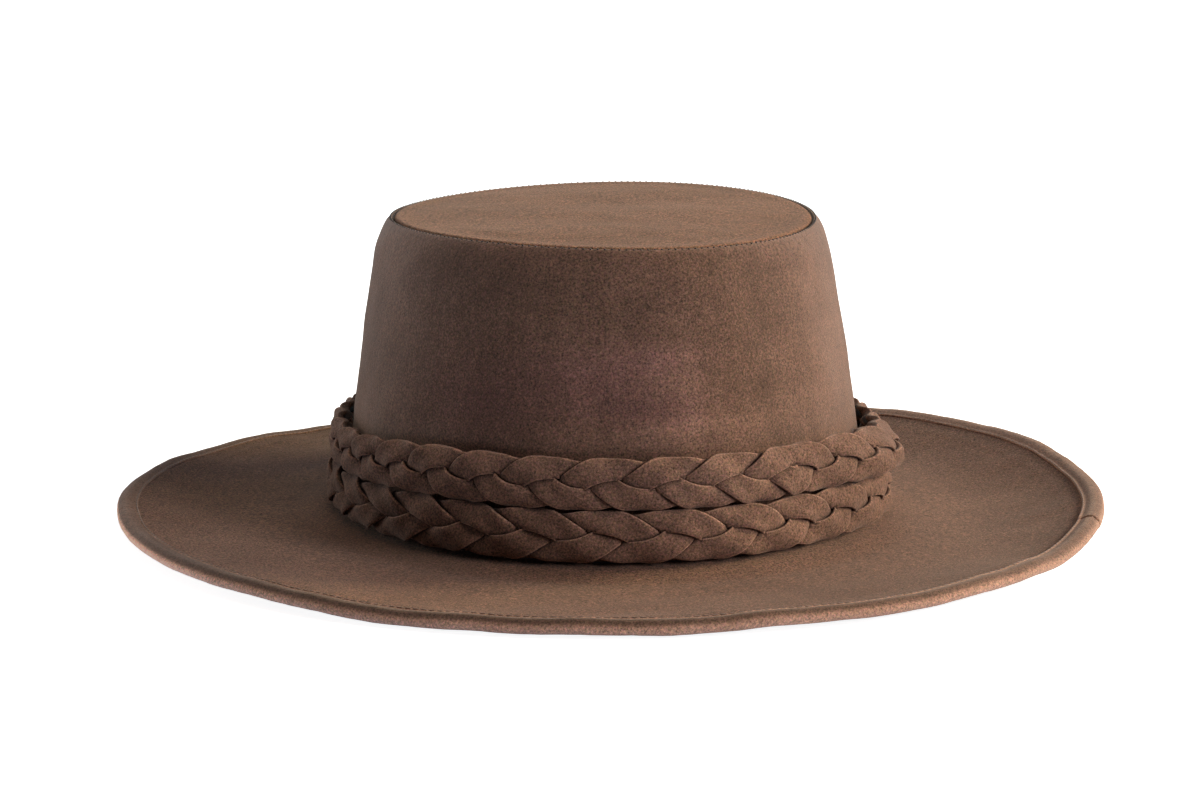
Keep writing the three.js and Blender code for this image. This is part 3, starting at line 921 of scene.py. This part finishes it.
def thread(name, color):
    """Matt thread, twisted from darker and lighter fibres."""
    material, nodes, links, shader = new_material(name)
    shader.inputs["Roughness"].default_value = 0.6
    shader.inputs["Sheen Weight"].default_value = 0.2
    place = nodes.new("ShaderNodeTexCoord")
    twist = nodes.new("ShaderNodeTexNoise")
    twist.inputs["Scale"].default_value = 2600
    links.new(place.outputs["Object"], twist.inputs["Vector"])
    ramp = nodes.new("ShaderNodeValToRGB")
    for stop, share in zip(ramp.color_ramp.elements, (0.6, 1.3)):
        stop.color = (*[share * part for part in color], 1)
    links.new(twist.outputs["Fac"], ramp.inputs["Fac"])
    links.new(ramp.outputs["Color"], shader.inputs["Base Color"])
    bump = nodes.new("ShaderNodeBump")
    bump.inputs["Distance"].default_value = 0.0001
    links.new(twist.outputs["Fac"], bump.inputs["Height"])
    links.new(bump.outputs["Normal"], shader.inputs["Normal"])
    return material


def floor_material():
    """A pale matt floor that shows as white, with a soft shadow, and throws a low cool light back."""
    material, nodes, links, shader = new_material("floor_white")
    set_inputs(shader, {"Base Color": (0.86, 0.86, 0.86, 1), "Roughness": 0.9, "Specular IOR Level": 0.1})
    paths = nodes.new("ShaderNodeLightPath")
    # It is as white far from the hat, where the lamps don't reach, as beside it.
    place = nodes.new("ShaderNodeTexCoord")
    distance = nodes.new("ShaderNodeVectorMath")
    distance.operation = "LENGTH"
    whiter = nodes.new("ShaderNodeMapRange")
    set_inputs(whiter, {"From Min": 0.3, "From Max": 1.2, "To Min": 0.9, "To Max": 1.1})
    links.new(place.outputs["Object"], distance.inputs[0])
    links.new(distance.outputs["Value"], whiter.inputs["Value"])
    white, glow = nodes.new("ShaderNodeEmission"), nodes.new("ShaderNodeEmission")
    links.new(whiter.outputs["Result"], white.inputs["Strength"])
    glow.inputs["Color"].default_value = (0.108, 0.188, 0.338, 1)
    choose = nodes.new("ShaderNodeMixShader")
    links.new(paths.outputs["Is Camera Ray"], choose.inputs["Fac"])
    links.new(glow.outputs["Emission"], choose.inputs[1])
    links.new(white.outputs["Emission"], choose.inputs[2])
    both = nodes.new("ShaderNodeAddShader")
    links.new(shader.outputs["BSDF"], both.inputs[0])
    links.new(choose.outputs["Shader"], both.inputs[1])
    links.new(both.outputs["Shader"], nodes["Material Output"].inputs["Surface"])
    return material


# Camera, floor and lights

# The photo's camera, 8 degrees round to the left. It is turned from the hat's foot by two small slopes.
# Lengths are in metres, the lens in millimetres.
CAMERA = {
    "azimuth": -8.0, "elevation": 11.858, "distance": 1.2661, "foot_height": 0.0003,
    "slope_up": 0.02968, "slope_right": -0.00142, "lens": 114.35, "sensor_width": 36, "clip_start": 0.01,
}


def camera():
    azimuth, elevation = math.radians(CAMERA["azimuth"]), math.radians(CAMERA["elevation"])
    flat = math.cos(elevation)
    back = Vector((math.sin(azimuth) * flat, -math.cos(azimuth) * flat, math.sin(elevation)))
    right = Vector((math.cos(azimuth), math.sin(azimuth), 0))
    forward = CAMERA["slope_up"] * back.cross(right) + CAMERA["slope_right"] * right - back
    data = bpy.data.cameras.new("camera")
    data.lens = CAMERA["lens"]
    data.sensor_width = CAMERA["sensor_width"]
    data.clip_start = CAMERA["clip_start"]
    made = bpy.data.objects.new("camera", data)
    made.location = Vector((0, 0, CAMERA["foot_height"])) + CAMERA["distance"] * back
    made.rotation_euler = forward.to_track_quat("-Z", "Y").to_euler()
    bpy.context.scene.collection.objects.link(made)
    bpy.context.scene.camera = made


def studio_floor():
    bpy.ops.mesh.primitive_plane_add(size=8, location=(0, 0, 0))
    floor = bpy.context.object
    floor.name = "floor"
    floor.data.materials.append(floor_material())


def studio_world():
    """A white backdrop for the camera, and a faint light from all round for the hat."""
    world = bpy.data.worlds.new("studio")
    bpy.context.scene.world = world
    world.use_nodes = True
    nodes, links = world.node_tree.nodes, world.node_tree.links
    sky = nodes["Background"]
    set_inputs(sky, {"Color": (0.93, 0.96, 1.0, 1), "Strength": 0.03})
    backdrop = nodes.new("ShaderNodeBackground")
    set_inputs(backdrop, {"Color": (1, 1, 1, 1), "Strength": 1.05})
    paths = nodes.new("ShaderNodeLightPath")
    choose = nodes.new("ShaderNodeMixShader")
    links.new(paths.outputs["Is Camera Ray"], choose.inputs["Fac"])
    links.new(sky.outputs["Background"], choose.inputs[1])
    links.new(backdrop.outputs["Background"], choose.inputs[2])
    links.new(choose.outputs["Shader"], nodes["World Output"].inputs["Surface"])


def light(name, where, size, power, color):
    data = bpy.data.lights.new(name, "AREA")
    data.shape = "RECTANGLE"
    data.size, data.size_y = size
    data.energy = power
    data.color = color
    made = bpy.data.objects.new(name, data)
    made.location = where
    aim = Vector((0, 0, LIGHT_AIM_HEIGHT))
    made.rotation_euler = (aim - Vector(where)).to_track_quat("-Z", "Y").to_euler()
    bpy.context.scene.collection.objects.link(made)


# Soft lamps round the hat: a warm key from the right, a front fill, two from above and two from behind.
# All aim at the middle of the crown's foot. Places and sizes are in metres, power in watts.
LIGHT_AIM_HEIGHT = 0.04
LIGHTS = [
    {
        "name": "key_right", "where": (1.5, 0.15, 0.58), "size": (0.6, 0.6),
        "power": 29, "color": (1.0, 0.83, 0.57),
    },
    {
        "name": "key_front", "where": (1.15, -1.1, 0.7), "size": (0.7, 0.7),
        "power": 13.8, "color": (1.0, 0.93, 0.94),
    },
    {
        "name": "top", "where": (0.0, -0.1, 1.5), "size": (0.9, 0.9),
        "power": 6.9, "color": (1.0, 0.81, 0.66),
    },
    {
        "name": "top_back", "where": (0.3, 1.1, 1.1), "size": (0.9, 0.6),
        "power": 4.6, "color": (0.4, 0.81, 1.0),
    },
    {
        "name": "rim_left", "where": (-1.1, 1.0, 0.18), "size": (0.4, 0.3),
        "power": 5.8, "color": (1.0, 0.93, 0.89),
    },
    {
        "name": "rim_right", "where": (1.3, 0.7, 0.5), "size": (0.5, 0.7),
        "power": 2.5, "color": (0.0, 0.28, 1.0),
    },
]

camera()
suedes = {row["name"]: suede(**row) for row in SUEDES}
dark_thread = thread("dark_thread", (0.02, 0.014, 0.012))
tan_thread = thread("tan_thread", (0.2, 0.134, 0.1))

dress(crown_side(), suedes["crown_suede"], "crown_suede", "crown_side")
dress(crown_tip(), suedes["tip_suede"], "crown_suede", "crown_tip")
dress(brim(), suedes["brim_suede"], "brim_suede", "brim")
for side, start, end in (
    ("front", BINDING_LEFT_JOIN, BINDING_RIGHT_JOIN),
    ("back", BINDING_RIGHT_JOIN, BINDING_LEFT_JOIN + 360),
):
    strip = binding(f"suede_binding_{side}", start, end, side == "back")
    dress(strip, suedes["binding_suede"], "binding_suede", f"binding_{side}")
dress(seam_stitches(), dark_thread, None)
dress(binding_stitches("thread_binding_top", 2.04), tan_thread, None)
dress(binding_stitches("thread_binding_under", -1.9), tan_thread, None)
for row in BRAIDS:
    for number, strand in enumerate(braid(**row), 1):
        dress(strand, suedes["braid_suede"], "braid_suede", f"{row['level']}_braid_strand_{number}")

studio_floor()
studio_world()
for lamp in LIGHTS:
    light(**lamp)

bpy.context.scene.view_settings.view_transform = "Standard"
